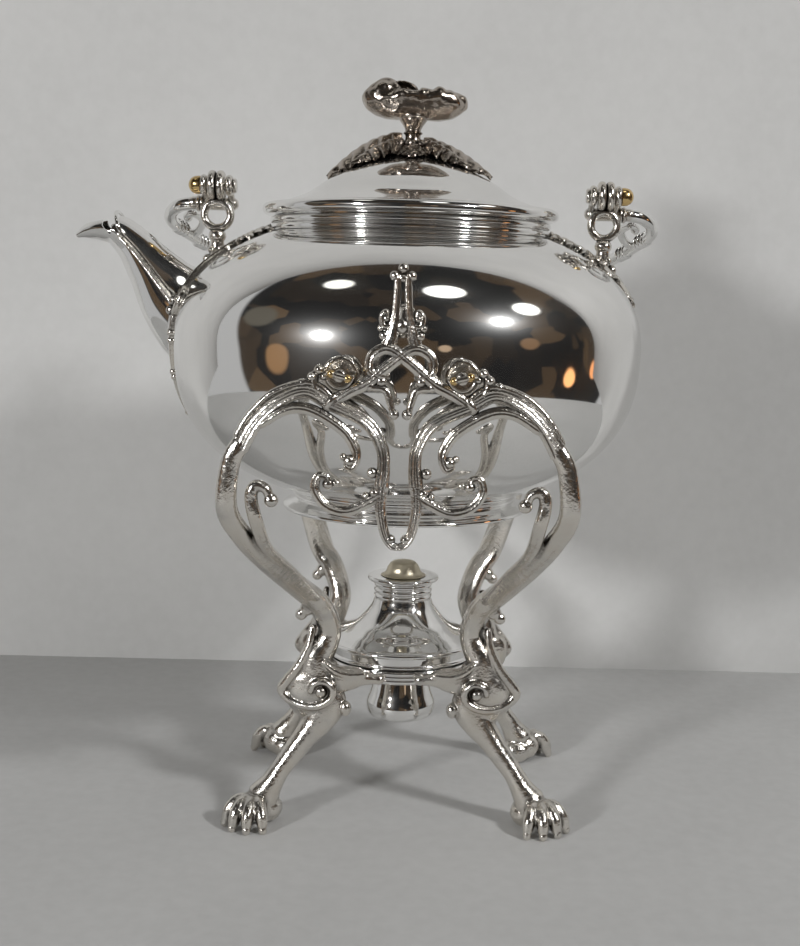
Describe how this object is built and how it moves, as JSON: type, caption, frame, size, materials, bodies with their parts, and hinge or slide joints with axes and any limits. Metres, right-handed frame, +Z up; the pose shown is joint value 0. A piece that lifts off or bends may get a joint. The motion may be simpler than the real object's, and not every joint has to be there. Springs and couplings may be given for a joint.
{
  "type": "tea kettle on stand with burner",
  "caption": "Tilting spirit kettle with folding bail handle and lift-off lid, hung by trunnions in a scroll stand on lion paws over a spirit burner.",
  "frame": {"origin": "on the table, in the middle between the four paws and under the burner's axis", "axes": "+X to the right with the spout pointing to -X, +Y to the rear where the folded handle lies, +Z up"},
  "size_m": [0.2451, 0.2182, 0.3067],
  "materials": {
    "polished_silver": "polished, faint swirls, light tarnish in the mouldings",
    "cast_silver": "cast and chased, polished high points, dark recesses",
    "aged_silver": "cast, satin, brown tarnish",
    "gilt": "polished, pale gilt",
    "cotton": "braided cotton wick"
  },
  "bodies": {
    "stand": {"leg_front_left": "cast_silver", "leg_front_right": "cast_silver", "leg_rear_left": "cast_silver", "leg_rear_right": "cast_silver", "frame_front": "cast_silver", "frame_rear": "cast_silver", "lance_front": "cast_silver", "lance_rear": "cast_silver", "hanger_front": "cast_silver", "hanger_rear": "cast_silver", "burner_ring": "polished_silver", "saddle_front_left": "polished_silver", "saddle_front_right": "polished_silver", "saddle_rear_left": "polished_silver", "saddle_rear_right": "polished_silver"},
    "kettle": {"kettle_body": "polished_silver", "foot_ring": "polished_silver", "collar_ring": "polished_silver", "spout": "polished_silver", "spout_strap_front": "cast_silver", "spout_strap_rear": "cast_silver", "ear_left": "polished_silver", "ear_right": "polished_silver", "ear_leaf_left": "cast_silver", "ear_leaf_right": "cast_silver", "boss_front_left": "polished_silver", "boss_front_right": "polished_silver", "boss_rear_left": "polished_silver", "boss_rear_right": "polished_silver", "pin_front_left": "gilt", "pin_front_right": "gilt", "pin_rear_left": "gilt", "pin_rear_right": "gilt"},
    "handle": {"bail": "polished_silver", "knuckle_left": "polished_silver", "knuckle_right": "polished_silver", "hinge_pin_left": "gilt", "hinge_pin_right": "gilt"},
    "lid": {"lid_flange": "polished_silver", "lid_cone": "polished_silver", "finial_leaves": "aged_silver", "finial_stem": "aged_silver", "finial_bud": "aged_silver"},
    "burner": {"burner_bowl": "polished_silver", "burner_cup": "polished_silver", "burner_cover": "polished_silver", "burner_neck_ring": "polished_silver", "wick_tube": "polished_silver", "wick": "cotton"},
    "snuffer": {"snuffer_brim_plate": "polished_silver", "snuffer_dome": "aged_silver"}
  },
  "joints": [
    {"name": "kettle_tilt", "type": "hinge", "parent": "stand", "child": "kettle", "pos_m": [-0.021, 0, 0.1905], "axis": [0, -1, 0], "range_deg": [0, 40]},
    {"name": "handle_swing", "type": "hinge", "parent": "kettle", "child": "handle", "pos_m": [0, 0, 0.26024], "axis": [1, 0, 0], "range_deg": [0, 224.5]},
    {"name": "lid_lift", "type": "slide", "parent": "kettle", "child": "lid", "axis": [0, 0, 1], "range_m": [0, 0.03]},
    {"name": "burner_lift", "type": "slide", "parent": "stand", "child": "burner", "axis": [0, 0, 1], "range_m": [0, 0.007]},
    {"name": "snuffer_lift", "type": "slide", "parent": "burner", "child": "snuffer", "axis": [0, 0, 1], "range_m": [0, 0.007]}
  ]
}
